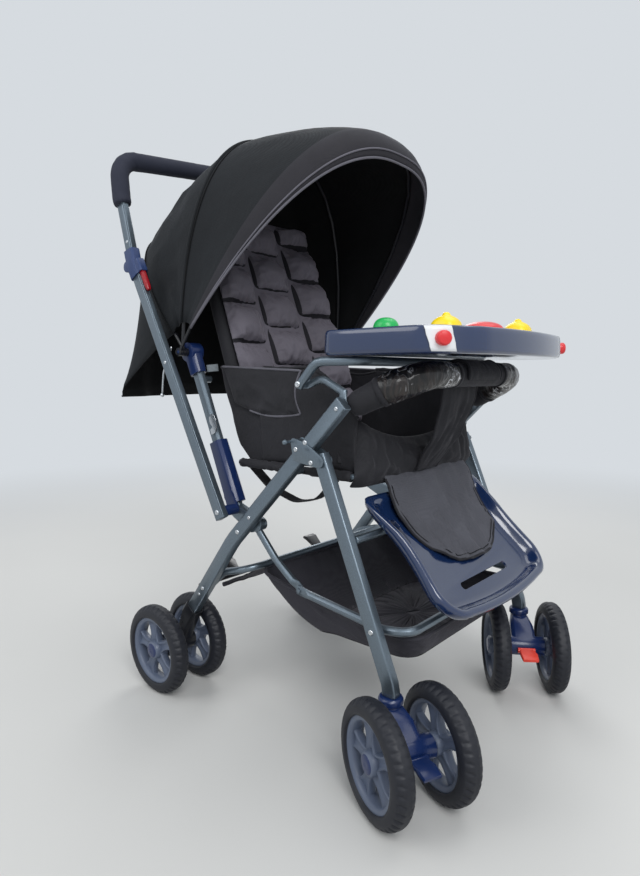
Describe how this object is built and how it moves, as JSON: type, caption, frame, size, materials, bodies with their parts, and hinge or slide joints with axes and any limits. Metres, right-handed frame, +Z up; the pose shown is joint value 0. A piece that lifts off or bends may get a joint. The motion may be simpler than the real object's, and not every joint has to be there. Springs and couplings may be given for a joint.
{
  "type": "baby stroller",
  "caption": "Folding baby stroller with a swing-over push handle, folding canopy, reclining seat, play tray, footrest, basket and twin swivel wheels.",
  "frame": {"origin": "middle of the footprint box, on the floor, with the front casters turned as in the picture", "axes": "+Z up, -Y the way the child faces, +X the child's left"},
  "size_m": [0.6008, 0.8316, 1.0116],
  "materials": {
    "frame_paint": "satin slate grey metallic paint",
    "navy_plastic": "glossy moulded",
    "blue_plastic": "satin moulded",
    "grip_foam": "matt foam",
    "black_fabric": "woven, matt",
    "quilt_fabric": "quilted satin weave",
    "flap_fabric": "woven, matt",
    "wheel_mix": "moulded tread on a grey plastic rim",
    "red_plastic": "glossy moulded",
    "dark_red_plastic": "glossy moulded",
    "white_plastic": "glossy moulded",
    "green_plastic": "glossy moulded",
    "plated_steel": "bright zinc plate"
  },
  "bodies": {
    "rear_frame": {"rear_leg_right": "frame_paint", "rear_leg_left": "frame_paint", "rear_hub_right": "navy_plastic", "rear_hub_left": "navy_plastic", "gusset_right": "frame_paint", "gusset_left": "frame_paint", "tray_link_right": "frame_paint", "tray_link_left": "frame_paint", "rear_crossbar": "frame_paint", "seat_frame": "frame_paint", "seat_pad": "black_fabric", "bumper_bar": "black_fabric", "crotch_panel": "black_fabric", "basket": "black_fabric"},
    "front_frame": {"front_leg_right": "frame_paint", "front_leg_left": "frame_paint", "front_crossbar": "frame_paint", "leg_flap": "flap_fabric"},
    "footrest": {"footrest": "navy_plastic"},
    "basket_bar": {"basket_bar": "frame_paint"},
    "uprights": {"upright_right": "frame_paint", "upright_left": "frame_paint", "upright_sleeve_right": "navy_plastic", "upright_sleeve_left": "navy_plastic", "canopy_clip_right": "navy_plastic", "canopy_clip_left": "navy_plastic", "canopy_hoop_rear": "navy_plastic", "canopy_cover": "black_fabric"},
    "front_hoop": {"canopy_hoop_front": "navy_plastic"},
    "middle_hoop": {"canopy_hoop_middle": "navy_plastic"},
    "backrest": {"backrest_frame": "frame_paint", "backrest_pad": "quilt_fabric"},
    "handle": {"handle_leg_right": "frame_paint", "handle_leg_left": "frame_paint", "handle_collar_right": "blue_plastic", "handle_collar_left": "blue_plastic", "handle_bar": "frame_paint", "handle_grip": "grip_foam"},
    "tray": {"tray_tube": "frame_paint", "tray_shell": "navy_plastic", "tray_top": "white_plastic"},
    "brake": {"brake_bar": "plated_steel"},
    "green_button": {"green_button": "green_plastic"},
    "red_button": {"red_button": "red_plastic"},
    "trigger_right": {"handle_trigger_right": "dark_red_plastic"},
    "caster_right": {"caster_right": "navy_plastic"},
    "caster_lock_right": {"caster_lock_right": "red_plastic"},
    "tray_release_right": {"corner_button_right": "red_plastic"},
    "front_wheel_right_outer": {"front_wheel_right_outer": "wheel_mix"},
    "rear_wheel_right_outer": {"rear_wheel_right_outer": "wheel_mix"},
    "front_wheel_right_inner": {"front_wheel_right_inner": "wheel_mix"},
    "rear_wheel_right_inner": {"rear_wheel_right_inner": "wheel_mix"},
    "trigger_left": {"handle_trigger_left": "dark_red_plastic"},
    "caster_left": {"caster_left": "navy_plastic"},
    "caster_lock_left": {"caster_lock_left": "red_plastic"},
    "tray_release_left": {"corner_button_left": "red_plastic"},
    "front_wheel_left_outer": {"front_wheel_left_outer": "wheel_mix"},
    "rear_wheel_left_outer": {"rear_wheel_left_outer": "wheel_mix"},
    "front_wheel_left_inner": {"front_wheel_left_inner": "wheel_mix"},
    "rear_wheel_left_inner": {"rear_wheel_left_inner": "wheel_mix"}
  },
  "joints": [
    {"name": "frame_fold", "type": "hinge", "parent": "rear_frame", "child": "uprights", "pos_m": [0.0164, 0.0147, 0.32156], "axis": [1, 0, 0], "range_deg": [0, 17]},
    {"name": "front_leg_fold", "type": "hinge", "parent": "rear_frame", "child": "front_frame", "pos_m": [0.0164, -0.1553, 0.446], "axis": [1, 0, 0], "range_deg": [0, 8]},
    {"name": "basket_bar_fold", "type": "hinge", "parent": "front_frame", "child": "basket_bar", "pos_m": [0.0164, -0.2473, 0.213], "axis": [1, 0, 0], "range_deg": [-13.4, 0]},
    {"name": "handle_reverse", "type": "hinge", "parent": "uprights", "child": "handle", "pos_m": [0.0164, 0.0507, 0.344], "axis": [1, 0, 0], "range_deg": [0, 74]},
    {"name": "canopy_fold", "type": "hinge", "parent": "uprights", "child": "front_hoop", "pos_m": [0.0164, 0.1717, 0.61], "axis": [-1, 0, 0], "range_deg": [0, 54], "deforming": ["canopy_cover"]},
    {"name": "canopy_middle", "type": "hinge", "parent": "uprights", "child": "middle_hoop", "pos_m": [0.0164, 0.1717, 0.61], "axis": [-1, 0, 0], "range_deg": [0, 26]},
    {"name": "backrest_recline", "type": "hinge", "parent": "rear_frame", "child": "backrest", "pos_m": [0.0164, 0.0567, 0.42], "axis": [-1, 0, 0], "range_deg": [0, 20]},
    {"name": "tray_lift", "type": "hinge", "parent": "rear_frame", "child": "tray", "pos_m": [0.0164, -0.1123, 0.556], "axis": [-1, 0, 0], "range_deg": [0, 60]},
    {"name": "footrest_tilt", "type": "hinge", "parent": "front_frame", "child": "footrest", "pos_m": [0.0164, -0.2083, 0.336], "axis": [-1, 0, 0], "range_deg": [0, 30], "deforming": ["leg_flap"]},
    {"name": "brake_pedal", "type": "hinge", "parent": "rear_frame", "child": "brake", "pos_m": [0.0164, 0.14206, 0.19038], "axis": [-1, 0, 0], "range_deg": [0, 20]},
    {"name": "green_button_press", "type": "slide", "parent": "tray", "child": "green_button", "axis": [0, 0, -1], "range_m": [0, 0.003], "stiffness_N_per_m": 500, "springref_m": -0.002},
    {"name": "red_button_press", "type": "slide", "parent": "tray", "child": "red_button", "axis": [0, 0, -1], "range_m": [0, 0.003], "stiffness_N_per_m": 500, "springref_m": -0.002},
    {"name": "trigger_right_pull", "type": "slide", "parent": "handle", "child": "trigger_right", "axis": [0, 0.4774, 0.8787], "range_m": [0, 0.008], "stiffness_N_per_m": 300},
    {"name": "tray_release_right_press", "type": "slide", "parent": "tray", "child": "tray_release_right", "axis": [0.6222, 0.7828, 0], "range_m": [0, 0.003], "stiffness_N_per_m": 500, "springref_m": -0.001},
    {"name": "caster_right_swivel", "type": "hinge", "parent": "front_frame", "child": "caster_right", "pos_m": [-0.1956, -0.2783, 0.12], "axis": [0, 0, 1], "continuous": true},
    {"name": "caster_lock_right_lift", "type": "hinge", "parent": "caster_right", "child": "caster_lock_right", "pos_m": [-0.22257, -0.33887, 0.07902], "axis": [-0.9135, 0.4067, 0], "range_deg": [0, 20]},
    {"name": "front_wheel_right_outer_spin", "type": "hinge", "parent": "caster_right", "child": "front_wheel_right_outer", "pos_m": [-0.25912, -0.29928, 0.07902], "axis": [0.9135, -0.4067, 0], "continuous": true},
    {"name": "rear_wheel_right_outer_spin", "type": "hinge", "parent": "rear_frame", "child": "rear_wheel_right_outer", "pos_m": [-0.2501, 0.1887, 0.07902], "axis": [1, 0, 0], "continuous": true},
    {"name": "front_wheel_right_inner_spin", "type": "hinge", "parent": "caster_right", "child": "front_wheel_right_inner", "pos_m": [-0.16868, -0.33955, 0.07902], "axis": [0.9135, -0.4067, 0], "continuous": true},
    {"name": "rear_wheel_right_inner_spin", "type": "hinge", "parent": "rear_frame", "child": "rear_wheel_right_inner", "pos_m": [-0.1671, 0.1887, 0.07902], "axis": [1, 0, 0], "continuous": true},
    {"name": "trigger_left_pull", "type": "slide", "parent": "handle", "child": "trigger_left", "axis": [0, 0.4774, 0.8787], "range_m": [0, 0.008], "stiffness_N_per_m": 300},
    {"name": "tray_release_left_press", "type": "slide", "parent": "tray", "child": "tray_release_left", "axis": [-0.6222, 0.7828, 0], "range_m": [0, 0.003], "stiffness_N_per_m": 500, "springref_m": -0.001},
    {"name": "caster_left_swivel", "type": "hinge", "parent": "front_frame", "child": "caster_left", "pos_m": [0.2284, -0.2783, 0.12], "axis": [0, 0, 1], "continuous": true},
    {"name": "caster_lock_left_lift", "type": "hinge", "parent": "caster_left", "child": "caster_lock_left", "pos_m": [0.17476, -0.31727, 0.07902], "axis": [-0.5878, 0.809, 0], "range_deg": [0, 20]},
    {"name": "front_wheel_left_outer_spin", "type": "hinge", "parent": "caster_left", "child": "front_wheel_left_outer", "pos_m": [0.22109, -0.3448, 0.07902], "axis": [0.5878, -0.809, 0], "continuous": true},
    {"name": "rear_wheel_left_outer_spin", "type": "hinge", "parent": "rear_frame", "child": "rear_wheel_left_outer", "pos_m": [0.2829, 0.1887, 0.07902], "axis": [1, 0, 0], "continuous": true},
    {"name": "front_wheel_left_inner_spin", "type": "hinge", "parent": "caster_left", "child": "front_wheel_left_inner", "pos_m": [0.1629, -0.26471, 0.07902], "axis": [0.5878, -0.809, 0], "continuous": true},
    {"name": "rear_wheel_left_inner_spin", "type": "hinge", "parent": "rear_frame", "child": "rear_wheel_left_inner", "pos_m": [0.1999, 0.1887, 0.07902], "axis": [1, 0, 0], "continuous": true}
  ],
  "couplings": [
    {"joint": "front_leg_fold", "follows": "frame_fold", "ratio": 0.452},
    {"joint": "basket_bar_fold", "follows": "frame_fold", "ratio": -0.76},
    {"joint": "canopy_middle", "follows": "canopy_fold", "ratio": 0.463}
  ]
}
